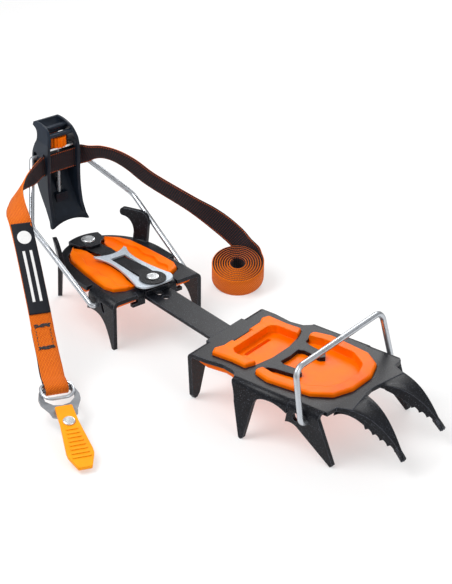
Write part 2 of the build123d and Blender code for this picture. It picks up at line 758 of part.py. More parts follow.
def build_thumbwheel():
    """Knurled wheel on top of the adjusting rod."""
    ribs = 15
    with BuildPart() as wheel:
        with BuildSketch(turned(HEEL, ROD_X, 0, 0, 64.8)):
            Circle(5.8)
            with PolarLocations(5.8, ribs):
                Circle(0.8)
            Circle(1.75, mode=Mode.SUBTRACT)
        extrude(amount=7.6)
    save(wheel, "thumbwheel")


# Strap and buckle


def build_strap():
    """Webbing as one plain closed solid: long tail with its roll, lever crossing and buckle tail."""
    x = HEEL.origin.X + STRAP_X
    exit_y = LEVER_HALF + 4
    roll_middle = ROLL.from_local_coords((0, 0, -STRAP_WIDTH / 2))
    to_roll = (roll_middle.X - x, roll_middle.Y - exit_y)
    heading = degrees(atan2(to_roll[1], to_roll[0]) + asin((ROLL_RADIUS - STRAP_THICKNESS) / hypot(*to_roll)))
    long_tail = Plane(origin=(x, exit_y - 1, 0)).rotated((0, 0, heading))
    stations = [
        Plane(origin=(x, 1 - exit_y, STRAP_Z), x_dir=(0, 0, 1), z_dir=(0, -1, 0)),
        Plane(origin=(x + 8, -exit_y - 14, STRAP_Z + 3), x_dir=(-0.2, -0.3, 0.9), z_dir=(0.5, -0.85, 0.1)),
        Plane(origin=(x + 24, -exit_y - 31, STRAP_Z + 6), x_dir=(-0.4, -0.6, 0.6), z_dir=(0.75, -0.65, 0)),
        Plane(origin=TAIL.from_local_coords((-23, 0, 60)), x_dir=-TAIL.y_dir, z_dir=TAIL.x_dir),
    ]
    with BuildPart() as strap:
        with BuildSketch(Plane.XY.offset(STRAP_Z - STRAP_WIDTH / 2)):
            with Locations((x, 0)):
                Rectangle(STRAP_THICKNESS, 2 * exit_y)
        extrude(amount=STRAP_WIDTH)
        with BuildSketch(side(long_tail)):
            with BuildLine():
                Spline((0, 54), (12, 57), (23, 55), (35, 48), (51, 34), (67, 20), (83, 5), (99, -10),
                       (114, -23))
            trace(line_width=STRAP_WIDTH)
        extrude(amount=STRAP_THICKNESS / 2, both=True)
        with BuildSketch(ROLL):
            Circle(ROLL_RADIUS)
            Circle(ROLL_CORE, mode=Mode.SUBTRACT)
        extrude(amount=-STRAP_WIDTH)
        for station in stations:
            with BuildSketch(station):
                Rectangle(STRAP_WIDTH, STRAP_THICKNESS)
        loft()
        with BuildSketch(side(TAIL)):
            with BuildLine():
                Spline(*TAIL_PATH, tangents=[(1, 0), (1, -0.23)])
            trace(line_width=STRAP_THICKNESS)
        extrude(amount=STRAP_WIDTH / 2, both=True)
        with BuildSketch(side(BUCKLE)):
            with Locations((-0.1, 0)):
                SlotCenterToCenter(4.6, LOOP_HEIGHT + 2 * STRAP_THICKNESS)
                SlotCenterToCenter(4.6, LOOP_HEIGHT, mode=Mode.SUBTRACT)
        extrude(amount=STRAP_WIDTH / 2, both=True)
        split(bisect_by=Plane.XY.offset(-DROP), keep=Keep.TOP)
    save(strap, "strap_webbing")


def build_label():
    """Sewn patch on top of the buckle tail, left blank."""
    patch = 0.8
    lift = 0.05
    with BuildPart() as label:
        with BuildSketch(side(TAIL)):
            with BuildLine():
                tail = Spline(*TAIL_PATH, tangents=[(1, 0), (1, -0.23)])
            trace(line_width=STRAP_THICKNESS + 2 * (patch + lift))
            trace(tail, line_width=STRAP_THICKNESS + 2 * lift, mode=Mode.SUBTRACT)
            with BuildLine():
                Polyline(LABEL_START, LABEL_END, (LABEL_END[0] + 5, LABEL_END[1] + 5),
                         (LABEL_START[0] + 5, LABEL_START[1] + 5), close=True)
            make_face(mode=Mode.INTERSECT)
        extrude(amount=STRAP_WIDTH / 2 - 0.3, both=True)
    save(label, "label_patch")


def build_buckle_ring():
    """Oval wire ring that lies on the buckle plate, its rear bar held in the loop of the strap."""
    start = Plane(origin=BUCKLE.from_local_coords((-2, 0, PLATE_TOP + 0.15 + RING_WIRE / 2)),
                  x_dir=BUCKLE.x_dir, z_dir=BUCKLE.z_dir)
    with BuildPart() as ring:
        with BuildLine(start):
            Line((0, 0), (0, 5.7))
            JernArc((0, 5.7), (0, 1), 4.5, -90)
            Line((4.5, 10.2), (7.4, 10.2))
            JernArc((7.4, 10.2), (1, 0), 6.6, -90)
            Line((14, 3.6), (14, 0))
        with BuildSketch(Plane(origin=start.origin, z_dir=start.y_dir)):
            Circle(RING_WIRE / 2)
        sweep()
        mirror(about=side(BUCKLE))
    save(ring, "buckle_ring")


def build_buckle_plate():
    """Flat plate with an oval window, held in the same loop."""
    outer = [(0.4, 0), (0.4, 10.4), (4, 12), (9, 13.4), (14, 13), (21.5, 9.2), (26.5, 8.2), (28, 5),
             (38, 4.4), (39.5, 0)]
    window = [(3, 0), (3, 8.6), (8, 10), (12, 9.6), (16.4, 5.4), (17.6, 0)]
    with BuildPart() as plate:
        with BuildSketch(BUCKLE.offset(PLATE_TOP)):
            add(mirrored_outline(outer, 1.6))
            add(mirrored_outline(window, 1.2), mode=Mode.SUBTRACT)
            with Locations((TAB_RIVET_X, 0)):
                Circle(TAB_RIVET_RADIUS + FIT, mode=Mode.SUBTRACT)
        extrude(amount=-PLATE_THICKNESS)
    save(plate, "buckle_plate")


def build_pull_tab():
    """Flexible ribbed pull tab riveted to the buckle plate."""
    outline = [(20.5, 0), (20.5, 5.6), (36, 6), (62, 8.5), (66, 8.3), (77, 4.4), (77, 0)]
    level = PLATE_TOP + FIT
    ribs = 8
    with BuildPart() as tab:
        with BuildSketch(BUCKLE.offset(level)):
            add(mirrored_outline(outline, 1))
            with Locations((TAB_RIVET_X, 0)):
                Circle(TAB_RIVET_RADIUS + FIT, mode=Mode.SUBTRACT)
        extrude(amount=TAB_THICKNESS)
        with BuildSketch(BUCKLE.offset(level + TAB_THICKNESS)):
            for rib in range(ribs):
                with Locations((42.5 + 3.6 * rib, 0)):
                    SlotCenterToCenter(6.5 + 0.6 * rib, 1.5, rotation=90)
        extrude(amount=0.5)
    save(tab, "pull_tab")


def build_tab_rivet():
    """Rivet through the pull tab and the buckle plate."""
    under = PLATE_TOP - PLATE_THICKNESS - FIT
    top = PLATE_TOP + 2 * FIT + TAB_THICKNESS
    discs = [(under, 3, -0.9), (under, TAB_RIVET_RADIUS, top - under), (top, 4, 1.2)]
    with BuildPart() as rivet:
        for level, radius, height in discs:
            with BuildSketch(BUCKLE.offset(level)):
                with Locations((TAB_RIVET_X, 0)):
                    Circle(radius)
            extrude(amount=height)
        fillet(rivet.faces().filter_by(BUCKLE).sort_by(Axis.Z)[-1].edges(), 0.8)
    save(rivet, "tab_rivet")


os.makedirs("parts", exist_ok=True)
build_front_frame()
build_front_plate()
build_linking_bar()
build_toe_bail()
build_heel_frame()
build_heel_plate()
build_spring_clamp()
build_rear_rivet()
build_leaf_spring()
build_lock_plate()
build_lock_pin()
build_heel_bail()
build_carriage()
build_lever()
build_bearing_plate()
build_adjusting_rod()
build_thumbwheel()
build_strap()
build_label()
build_buckle_ring()
build_buckle_plate()
build_pull_tab()
build_tab_rivet()
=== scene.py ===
import json
import math
import random
import bpy
from mathutils import Matrix, Vector


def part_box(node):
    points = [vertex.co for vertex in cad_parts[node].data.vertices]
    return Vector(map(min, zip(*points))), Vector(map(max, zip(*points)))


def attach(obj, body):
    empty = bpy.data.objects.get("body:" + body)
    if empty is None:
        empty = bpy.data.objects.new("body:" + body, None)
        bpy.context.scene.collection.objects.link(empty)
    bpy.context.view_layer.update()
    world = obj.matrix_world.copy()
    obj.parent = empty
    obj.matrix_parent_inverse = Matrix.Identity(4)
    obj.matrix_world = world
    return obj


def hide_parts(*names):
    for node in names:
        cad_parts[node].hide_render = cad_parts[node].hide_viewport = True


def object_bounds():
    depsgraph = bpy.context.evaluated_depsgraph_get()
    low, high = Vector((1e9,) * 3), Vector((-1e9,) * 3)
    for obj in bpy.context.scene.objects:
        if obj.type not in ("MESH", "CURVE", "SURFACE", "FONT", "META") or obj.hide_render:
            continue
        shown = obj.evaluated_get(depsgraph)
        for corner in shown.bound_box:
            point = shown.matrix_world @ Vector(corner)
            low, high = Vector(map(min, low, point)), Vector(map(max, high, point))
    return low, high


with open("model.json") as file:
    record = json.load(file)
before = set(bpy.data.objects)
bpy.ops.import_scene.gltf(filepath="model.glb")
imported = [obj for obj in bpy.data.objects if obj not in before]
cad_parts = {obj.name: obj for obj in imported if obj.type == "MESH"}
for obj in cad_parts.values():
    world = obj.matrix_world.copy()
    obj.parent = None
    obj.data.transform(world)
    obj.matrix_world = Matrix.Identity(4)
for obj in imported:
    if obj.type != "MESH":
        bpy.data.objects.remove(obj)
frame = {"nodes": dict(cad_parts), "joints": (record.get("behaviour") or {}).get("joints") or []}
cad_low, cad_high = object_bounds()

MM = 0.001
JOINTS = {joint["name"]: joint for joint in frame["joints"]}

# Driving positions, read from the frame (metres, row axes).
HEEL_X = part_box("heel_frame")[1].x
GROUND = cad_low.z

# Strap, in millimetres and radians.
WEB_WIDTH = 15.0
WEB_THICKNESS = 1.4
CROSSING = Vector((HEEL_X / MM - 113.6, 0, 54))
ROLL_RADIUS = 18.4
ROLL_CORE = 5.0
LOOP_RADIUS = 3.1
LOOP_END = 2.2
BUCKLE_SLOPE = math.radians(11)
TAIL_HEADING = math.radians(-23.8)

# Middle line of the strap under the label, in the tail's frame.
LABEL_LINE = [(0.6, -2.5, 49.2), (12.5, -2, 39.4), (25, -1.2, 28), (37, -0.5, 16.6), (49, 0, 6.2)]


# Frames of reference, in millimetres


def placed(x, y, z, origin):
    """Matrix from three axes and an origin."""
    matrix = Matrix((x, y, z)).transposed().to_4x4()
    matrix.translation = origin
    return matrix


def upright_frame(origin, along, up=(0, 0, 1)):
    """Matrix whose x axis runs along a direction and whose z axis is up."""
    x = Vector(along).normalized()
    y = Vector(up).cross(x).normalized()
    return placed(x, y, x.cross(y), origin)


TAIL = upright_frame((-132.6, -69.6, 0), (math.cos(TAIL_HEADING), math.sin(TAIL_HEADING), 0))
TAIL_DIR = Vector(TAIL.col[0][:3])
BUCKLE_SIDE = -Vector(JOINTS["buckle_tilt"]["axis"])
BUCKLE = upright_frame(TAIL @ Vector((100.9, 0, -18.5)), BUCKLE_SIDE.cross(Vector((0, 0, 1))))
BUCKLE = BUCKLE @ Matrix.Rotation(BUCKLE_SLOPE, 4, "Y")
ROLL = upright_frame((-97.7, 85.3, -16.6), (0.9695, 0, -0.2449), (0.2405, -0.1904, 0.9518))
ROLL_UP = Vector(ROLL.col[2][:3])
ROLL_TOP = Vector(ROLL.col[3][:3])


# Node materials


def add_node(tree, kind, inputs=None, **settings):
    """New shader node: inputs are values or sockets to link, by name or number."""
    node = tree.nodes.new(kind)
    for key, value in settings.items():
        setattr(node, key, value)
    for key, value in (inputs or {}).items():
        if isinstance(value, bpy.types.NodeSocket):
            tree.links.new(value, node.inputs[key])
        else:
            node.inputs[key].default_value = value
    return node


def new_material(name):
    """Empty node material with a principled shader wired to the output."""
    material = bpy.data.materials.new(name)
    material.use_nodes = True
    tree = material.node_tree
    tree.nodes.clear()
    shader = add_node(tree, "ShaderNodeBsdfPrincipled")
    add_node(tree, "ShaderNodeOutputMaterial", {"Surface": shader.outputs[0]})
    return material, tree, shader


def link(tree, output, shader, name):
    """Wire an output to a named input of a shader."""
    tree.links.new(output, shader.inputs[name])


def shade(color, factor=1.0):
    """Opaque colour made darker or lighter by a factor."""
    return (*[min(1, channel * factor) for channel in color], 1)


def coords(tree, kind="Object"):
    """Texture coordinates of one kind."""
    return add_node(tree, "ShaderNodeTexCoord").outputs[kind]


def noise(tree, vector, scale, detail=3.0, roughness=0.55):
    """Cloudy value around a half; the scale is in repeats per metre."""
    inputs = {"Vector": vector, "Scale": scale, "Detail": detail, "Roughness": roughness}
    return add_node(tree, "ShaderNodeTexNoise", inputs).outputs["Fac"]


def remap(tree, value, low, high, to_low, to_high):
    """Value moved from one range to another, and held inside it."""
    inputs = {"Value": value, "From Min": low, "From Max": high, "To Min": to_low, "To Max": to_high}
    return add_node(tree, "ShaderNodeMapRange", inputs).outputs[0]


def calc(tree, operation, first, second=0.0):
    """Result of one sum on sockets or numbers."""
    return add_node(tree, "ShaderNodeMath", {0: first, 1: second}, operation=operation).outputs[0]


def wave(tree, value, length):
    """Sine of a value that repeats once per length."""
    return calc(tree, "SINE", calc(tree, "MULTIPLY", value, math.tau / length))


def band(tree, value, low, high, blur):
    """One between two limits, zero outside them, with a short ramp at each."""
    rise = remap(tree, value, low, low + blur, 0, 1)
    fall = remap(tree, value, high, high + blur, 1, 0)
    return calc(tree, "MULTIPLY", rise, fall)


def blend_colors(tree, share, first, second):
    """Mix of two colours by a share."""
    return add_node(tree, "ShaderNodeMixRGB", {"Fac": share, "Color1": first, "Color2": second}).outputs[0]


def bump(tree, height, strength, distance, normal=None):
    """Surface direction roughened by a height."""
    inputs = {"Height": height, "Strength": strength, "Distance": distance}
    if normal is not None:
        inputs["Normal"] = normal
    return add_node(tree, "ShaderNodeBump", inputs).outputs[0]


def edge_mask(tree, radius):
    """Mask that is one along edges and zero on flats, and the rounded surface direction."""
    rounded = add_node(tree, "ShaderNodeBevel", {"Radius": radius}, samples=4).outputs[0]
    flat = add_node(tree, "ShaderNodeNewGeometry").outputs["Normal"]
    match = add_node(tree, "ShaderNodeVectorMath", {0: rounded, 1: flat}, operation="DOT_PRODUCT")
    return remap(tree, match.outputs["Value"], 0.99, 0.86, 0.0, 1.0), rounded


def coated_steel(name, base, lighter_edge, roughness):
    """Dark satin coating with fine painted glints, lighter along the edges where the coating is rubbed
    through and with a painted highlight.
    """
    material, tree, shader = new_material(name)
    place = coords(tree)
    cloud = noise(tree, place, 60)
    grain = noise(tree, place, 1800, 2)
    painted_glint = noise(tree, place, 1500, 1, 0.9)
    edges, rounded = edge_mask(tree, 0.8 * MM)
    # Lighter edges: partly rubbed-through coating, partly a painted highlight along the edges.
    wear_and_painted_highlight = calc(tree, "MULTIPLY", edges, remap(tree, noise(tree, place, 240, 4), 0.3, 0.62, 0.3, 1.0))
    tone = blend_colors(tree, remap(tree, cloud, 0.35, 0.7, 0, 1), shade(base), shade(base, 1.6))
    # Painted glints: pale blue-grey specks mixed in where the fine noise is high.
    tone = blend_colors(tree, remap(tree, painted_glint, 0.62, 0.72, 0, 0.5), tone, (0.16, 0.18, 0.22, 1))
    link(tree, blend_colors(tree, wear_and_painted_highlight, tone, shade(lighter_edge)), shader, "Base Color")
    link(tree, remap(tree, grain, 0.2, 0.8, roughness - 0.1, roughness + 0.12), shader, "Roughness")
    shader.inputs["Specular IOR Level"].default_value = 0.22
    link(tree, bump(tree, grain, 0.22, 0.06 * MM, rounded), shader, "Normal")
    return material


def blasted_steel(name):
    """Light grey bead-blasted steel with a fine speckle and brighter edges."""
    material, tree, shader = new_material(name)
    place = coords(tree)
    speckle = noise(tree, place, 2600, 2, 0.7)
    edges, rounded = edge_mask(tree, 0.5 * MM)
    grains = remap(tree, speckle, 0.35, 0.65, 0, 1)
    tone = blend_colors(tree, grains, (0.43, 0.49, 0.56, 1), (0.66, 0.71, 0.77, 1))
    link(tree, blend_colors(tree, edges, tone, (0.85, 0.88, 0.9, 1)), shader, "Base Color")
    shader.inputs["Metallic"].default_value = 0.55
    link(tree, remap(tree, speckle, 0.3, 0.7, 0.38, 0.52), shader, "Roughness")
    link(tree, bump(tree, speckle, 0.3, 0.04 * MM, rounded), shader, "Normal")
    return material


def drawn_steel(name, color=(0.58, 0.61, 0.65), roughness=0.3, pitch=0.0, painted_turn_shade=0.85):
    """Polished steel with painted shade where it turns away from the camera: faint scratches, or a thread if
    a pitch is given.
    """
    material, tree, shader = new_material(name)
    place = coords(tree)
    smudge = noise(tree, place, 180, 4)
    tone = blend_colors(tree, smudge, shade(color, 0.75), shade(color, 1.2))
    # Painted shade: the colour goes towards near-black where the surface turns away from the camera.
    turning = add_node(tree, "ShaderNodeLayerWeight", {"Blend": 0.5}).outputs["Facing"]
    rim = remap(tree, turning, 0.45, 0.85, 0, painted_turn_shade)
    link(tree, blend_colors(tree, rim, tone, shade(color, 0.12)), shader, "Base Color")
    shader.inputs["Metallic"].default_value = 0.9
    link(tree, remap(tree, smudge, 0.3, 0.7, roughness - 0.08, roughness + 0.1), shader, "Roughness")
    if pitch:
        rise = add_node(tree, "ShaderNodeSeparateXYZ", {0: place}).outputs[2]
        surface = bump(tree, wave(tree, rise, pitch * MM), 0.9, 0.1 * MM)
    else:
        surface = bump(tree, noise(tree, place, 3200, 3, 0.8), 0.08, 0.02 * MM)
    link(tree, surface, shader, "Normal")
    return material


def moulded_plastic(name, base, light, roughness, grain_scale, grain_strength, shine, edge=0.6):
    """Injection-moulded plastic or rubber: soft colour drift, fine grain and rounded edges."""
    material, tree, shader = new_material(name)
    place = coords(tree)
    drift = noise(tree, place, 45, 3)
    grain = noise(tree, place, grain_scale, 2)
    edges, rounded = edge_mask(tree, edge * MM)
    tone = blend_colors(tree, remap(tree, drift, 0.35, 0.65, 0, 1), shade(base), shade(light))
    # Lighter along the edges: the light colour is mixed in at 0.35 of the edge mask.
    lighter_edge = calc(tree, "MULTIPLY", edges, 0.35)
    link(tree, blend_colors(tree, lighter_edge, tone, shade(light)), shader, "Base Color")
    link(tree, remap(tree, drift, 0.3, 0.7, roughness - 0.05, roughness + 0.06), shader, "Roughness")
    shader.inputs["Specular IOR Level"].default_value = shine
    link(tree, bump(tree, grain, grain_strength, 0.05 * MM, rounded), shader, "Normal")
    return material


def weave_height(tree, along, across, pitch_along, pitch_across):
    """Height of a plain weave: threads that cross over and under in turn."""
    over = wave(tree, along, 2 * pitch_along)
    under = wave(tree, across, 2 * pitch_across)
    return calc(tree, "ABSOLUTE", calc(tree, "MULTIPLY", over, under))


def orange_face(tree, thread):
    """Colour of the orange side of the webbing, with painted shade in the weave's hollows, and the colour of
    the painted shade in its fuzz.
    """
    # Painted shade: darker orange where the weave is low, bright orange on the thread tops.
    color = blend_colors(tree, thread, (0.56, 0.06, 0.001, 1), (1.0, 0.26, 0.008, 1))
    fuzz_shade_color = (0.06, 0.01, 0.003, 1)
    return color, fuzz_shade_color


def black_face(tree, thread, along, across):
    """Colour of the black side, with rows of orange dots, an orange edge and painted shade in the weave's
    hollows, and the colour of the painted shade in its fuzz.
    """
    row_gap = 1.7
    dot_gap = 1.25
    beat_length = 1.5
    rows = remap(tree, calc(tree, "ABSOLUTE", wave(tree, along, 2 * row_gap)), 0.9, 0.98, 0, 1)
    dashes = remap(tree, calc(tree, "ABSOLUTE", wave(tree, across, 2 * dot_gap)), 0.6, 0.9, 0, 1)
    dots = calc(tree, "MULTIPLY", calc(tree, "MULTIPLY", rows, dashes), 0.2)
    side = calc(tree, "ABSOLUTE", across)
    border = calc(tree, "MULTIPLY", remap(tree, side, 6.3, 6.5, 0, 1), remap(tree, side, 6.9, 7.05, 1, 0))
    beat = remap(tree, wave(tree, along, beat_length), -0.2, 0.3, 0, 1)
    marks = calc(tree, "MAXIMUM", dots, calc(tree, "MULTIPLY", border, beat))
    # Painted shade: darker where the weave is low, lighter on the thread tops.
    dark = blend_colors(tree, thread, (0.003, 0.0035, 0.006, 1), (0.02, 0.022, 0.032, 1))
    color = blend_colors(tree, marks, dark, (0.8, 0.14, 0.012, 1))
    fuzz_shade_color = (0.014, 0.012, 0.014, 1)
    return color, fuzz_shade_color


def webbing(name, black):
    """One side of the two-tone webbing; UV is in millimetres along and across the band."""
    material, tree, shader = new_material(name)
    split = add_node(tree, "ShaderNodeSeparateXYZ", {0: coords(tree, "UV")})
    along, across = split.outputs[0], split.outputs[1]
    slanted = calc(tree, "ADD", along, calc(tree, "MULTIPLY", across, 0.5))
    weave = weave_height(tree, slanted, across, pitch_along=1.15, pitch_across=0.95)
    fuzz = noise(tree, coords(tree), 2400, 3)
    thread = remap(tree, weave, 0.1, 0.8, 0, 1)
    color, fuzz_shade_color = black_face(tree, thread, along, across) if black else orange_face(tree, thread)
    # Painted shade: the fuzz noise darkens the colour in patches towards the shade colour.
    painted_fuzz_shade = calc(tree, "MULTIPLY", remap(tree, fuzz, 0.35, 0.65, 0, 1), 0.16)
    link(tree, blend_colors(tree, painted_fuzz_shade, color, fuzz_shade_color), shader, "Base Color")
    shader.inputs["Roughness"].default_value = 0.8
    shader.inputs["Specular IOR Level"].default_value = 0.2
    shader.inputs["Sheen Weight"].default_value = 0.04
    shader.inputs["Sheen Roughness"].default_value = 0.5
    height = calc(tree, "ADD", weave, calc(tree, "MULTIPLY", fuzz, 0.25))
    link(tree, bump(tree, height, 0.9, 0.3 * MM), shader, "Normal")
    return material


def label_cloth():
    """Black woven label with a plain pale disc and two stripes, and no lettering."""
    material, tree, shader = new_material("label_cloth")
    split = add_node(tree, "ShaderNodeSeparateXYZ", {0: coords(tree, "UV")})
    along, across = split.outputs[0], split.outputs[1]
    weave = weave_height(tree, along, across, pitch_along=0.55, pitch_across=0.5)
    side = calc(tree, "ABSOLUTE", across)
    stripes = calc(tree, "MULTIPLY", band(tree, side, 1.4, 3.2, 0.2), band(tree, along, 20, 56, 0.4))
    disc_middle = 10.5
    disc_radius = 4.6
    reach = calc(tree, "SUBTRACT", along, disc_middle)
    squares = calc(tree, "ADD", calc(tree, "MULTIPLY", reach, reach), calc(tree, "MULTIPLY", across, across))
    disc = remap(tree, calc(tree, "SQRT", squares), disc_radius, disc_radius + 0.2, 1, 0)
    marks = calc(tree, "MAXIMUM", stripes, disc)
    # Painted shade: darker where the weave is low, lighter on the thread tops.
    dark = blend_colors(tree, weave, (0.003, 0.004, 0.007, 1), (0.014, 0.017, 0.025, 1))
    link(tree, blend_colors(tree, marks, dark, (0.8, 0.8, 0.8, 1)), shader, "Base Color")
    shader.inputs["Roughness"].default_value = 0.7
    shader.inputs["Specular IOR Level"].default_value = 0.25
    link(tree, bump(tree, weave, 0.5, 0.1 * MM), shader, "Normal")
    return material


def thread_material():
    """Thick black sewing thread."""
    material, tree, shader = new_material("sewing_thread")
    fuzz = noise(tree, coords(tree), 3000, 3)
    color = blend_colors(tree, fuzz, (0.004, 0.004, 0.006, 1), (0.03, 0.03, 0.035, 1))
    link(tree, color, shader, "Base Color")
    shader.inputs["Roughness"].default_value = 0.6
    link(tree, bump(tree, fuzz, 0.6, 0.1 * MM), shader, "Normal")
    return material


# Meshes


def make_object(name, points, faces, materials, uvs=(), face_slots=()):
    """Smooth-shaded mesh object from points in millimetres, added to the scene."""
    mesh = bpy.data.meshes.new(name)
    mesh.from_pydata([Vector(point) * MM for point in points], [], faces)
    if uvs:
        layer = mesh.uv_layers.new(name="UVMap")
        for corner, uv in enumerate(uv for face in uvs for uv in face):
            layer.data[corner].uv = uv
    for material in materials:
        mesh.materials.append(material)
    mesh.shade_smooth()
    for polygon, slot in zip(mesh.polygons, face_slots):
        polygon.material_index = slot
    mesh.validate()
    made = bpy.data.objects.new(name, mesh)
    bpy.context.scene.collection.objects.link(made)
    return made


def spline_point(around, t):
    """Point on the Catmull-Rom curve between the two middle points of four."""
    a, b, c, d = around
    bend = 2 * a - 5 * b + 4 * c - d
    return 0.5 * (2 * b + (c - a) * t + bend * t * t + (3 * b - a - 3 * c + d) * t ** 3)


def smooth_chain(stations, step):
    """Catmull-Rom samples through (place, width direction) stations, about one step apart."""
    samples = []
    last = len(stations) - 1
    for index in range(last):
        around = [stations[max(0, min(last, index + shift))] for shift in (-1, 0, 1, 2)]
        places, widths = zip(*around)
        count = max(1, round((places[2] - places[1]).length / step))
        for part in range(count):
            samples.append((spline_point(places, part / count), spline_point(widths, part / count)))
    samples.append(stations[-1])
    return samples


def band_section(width, thickness, lift):
    """Cross-section of a flat band with bevelled edges: its upper side first, then its lower side."""
    half, depth = width / 2, thickness / 2
    lip = 0.3 * thickness
    upper = [(-half, 0), (-half + lip, depth), (-half / 3, depth), (half / 3, depth), (half - lip, depth)]
    lower = [(-offset, -rise) for offset, rise in upper]
    return [(offset, rise + lift) for offset, rise in upper + lower]


def ribbon(name, stations, width, thickness, materials, lift=0.0):
    """Flat band through stations: its upper side takes the first material, its lower side the second."""
    section = band_section(width, thickness, lift)
    ring = len(section)
    samples = smooth_chain(stations, 1.5)
    end = len(samples) - 1
    points, faces, uvs, face_slots = [], [], [], []
    travelled = 0
    for index, (place, across) in enumerate(samples):
        before = samples[max(0, index - 1)][0]
        after = samples[min(end, index + 1)][0]
        forward = (after - before).normalized()
        across = (across - forward * across.dot(forward)).normalized()
        normal = forward.cross(across)
        points += [place + across * offset + normal * rise for offset, rise in section]
        if index == 0:
            continue
        ahead = travelled + (place - before).length
        base = (index - 1) * ring
        for corner in range(ring):
            following = (corner + 1) % ring
            faces.append((base + corner, base + following, base + ring + following, base + ring + corner))
            v0, v1 = section[corner][0], section[following][0]
            uvs.append(((travelled, v0), (travelled, v1), (ahead, v1), (ahead, v0)))
            face_slots.append(0 if corner < ring / 2 else 1)
        travelled = ahead
    first_cap = list(range(ring))[::-1]
    last_cap = [end * ring + corner for corner in range(ring)]
    for cap in (first_cap, last_cap):
        faces.append(cap)
        uvs.append([(0, 0)] * ring)
        face_slots.append(1)
    return make_object(name, points, faces, materials, uvs, face_slots)


# Webbing


def shifted_stations(origin, stations):
    """Stations given as an offset from one point and a width direction."""
    return [(origin + Vector(place), Vector(width)) for place, width in stations]


def tail_stations(places):
    """Stations of the straight tail, given in its own frame."""
    return [(TAIL @ Vector(place), BUCKLE_SIDE) for place in places]


def roll_station(turn, radius, rise=0.0):
    """Station at an angle and radius of the roll; the roll's frame sits on its top."""
    place = Vector((math.cos(turn) * radius, math.sin(turn) * radius, rise - WEB_WIDTH / 2))
    return ROLL @ place, ROLL_UP


def roll_stations():
    """The rolled end of the strap, from its core outwards."""
    turns = 7.6
    stations_per_turn = 24
    last_turn = math.radians(40)
    steps = round(turns * stations_per_turn)
    stations = []
    for index in range(steps + 1):
        share = index / steps
        turn = last_turn - (1 - share) * turns * math.tau
        stations.append(roll_station(turn, ROLL_CORE + (ROLL_RADIUS - ROLL_CORE) * share))
    return stations


def far_stations():
    """Long tail from the side of the roll up to the lever."""
    leaving = [roll_station(math.radians(degrees), ROLL_RADIUS + gap, rise)
               for degrees, gap, rise in ((56, 0.4, 0.2), (74, 0.9, 0.9), (94, 1.6, 2.4))]
    rising = [((-10, 15.6, 4), (0.18, 0.45, 0.87)), ((-17.5, 12.6, 10.4), (0.16, 0.72, 0.67)),
              ((-24, 6.4, 18.4), (0.17, 0.62, 0.78)), ((-31.5, -2, 27.3), (0.37, 0.38, 0.84)),
              ((-40, -12.8, 36.8), (0.6, 0.2, 0.75))]
    arch = [((34, 54.4, -18.2), (0.7, 0.16, 0.69)), ((24.8, 43.8, -6.7), (0.72, 0.09, 0.69)),
            ((17.6, 35.4, 0), (0.62, -0.1, 0.78)), ((11.1, 27.9, 2.8), (0.44, -0.3, 0.85)),
            ((5.9, 21.8, 2.3), (0.33, -0.28, 0.9))]
    return leaving + shifted_stations(ROLL_TOP, rising) + shifted_stations(CROSSING, arch)


def crossing_stations():
    """Short straight run through the slots of the lever."""
    places = [(0.4, 17.2, 0.6), (0, 12, 0), (0, 0, 0), (0, -12, -0.2), (0.6, -17, -0.7)]
    return shifted_stations(CROSSING, [(place, (0, 0, 1)) for place in places])


def twist_stations():
    """Half turn of the strap outside the near wall of the lever."""
    twist = [((7.6, -27.5, -0.8), (0.1, -0.1, 1)), ((12.5, -38.5, -1.4), (0.5, -0.2, 0.8)),
             ((20, -48.5, -1.6), (0.67, 0.04, 0.74)), ((29.5, -57, -1.9), (0.73, 0.23, 0.65)),
             ((42, -65, -2.4), (0.66, 0.6, 0.4)), ((57, -71.8, -3.6), (0.36, 0.92, 0.12))]
    return shifted_stations(CROSSING, twist)


def hanging_stations():
    """Straight tail from under the label down to the buckle."""
    return tail_stations(LABEL_LINE[1:] + [(62, 0, -2.6), (75, 0, -9), (86, 0, -13)])


def loop_stations():
    """Loop round the buckle, and the short end sewn back under the tail."""
    over = [(-6.5, 2.3), (-3.2, 2.95), (0, LOOP_RADIUS), (LOOP_END, LOOP_RADIUS)]
    bend = []
    for degrees in range(30, 180, 30):
        turn = math.radians(degrees)
        bend.append((LOOP_END + LOOP_RADIUS * math.sin(turn), LOOP_RADIUS * math.cos(turn)))
    under = [(LOOP_END, -LOOP_RADIUS), (0, -LOOP_RADIUS), (-3.2, -2.6), (-6.5, -0.4), (-13, 0.9)]
    stations = [(BUCKLE @ Vector((distance, 0, height)), BUCKLE_SIDE)
                for distance, height in over + bend + under]
    return stations + tail_stations([(75, 0, -10.8), (62, 0, -4.5), (56, 0, -0.6)])


def build_webbing():
    """The whole strap as one band, from the core of its roll to the sewn end under the buckle."""
    faces = [webbing("webbing_orange_face", False), webbing("webbing_black_face", True)]
    chain = roll_stations() + far_stations() + crossing_stations()
    chain += twist_stations() + hanging_stations() + loop_stations()
    strap = ribbon("strap", chain, WEB_WIDTH, WEB_THICKNESS, faces)
    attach(strap, "lever")
    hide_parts("strap_webbing")


def build_label():
    """Label sewn on the near tail."""
    thickness = 0.7
    lift = (WEB_THICKNESS + thickness) / 2 + 0.01
    cloth = label_cloth()
    patch = ribbon("label", tail_stations(LABEL_LINE), WEB_WIDTH - 0.5, thickness, [cloth, cloth], lift)
    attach(patch, "lever")
    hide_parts("label_patch")


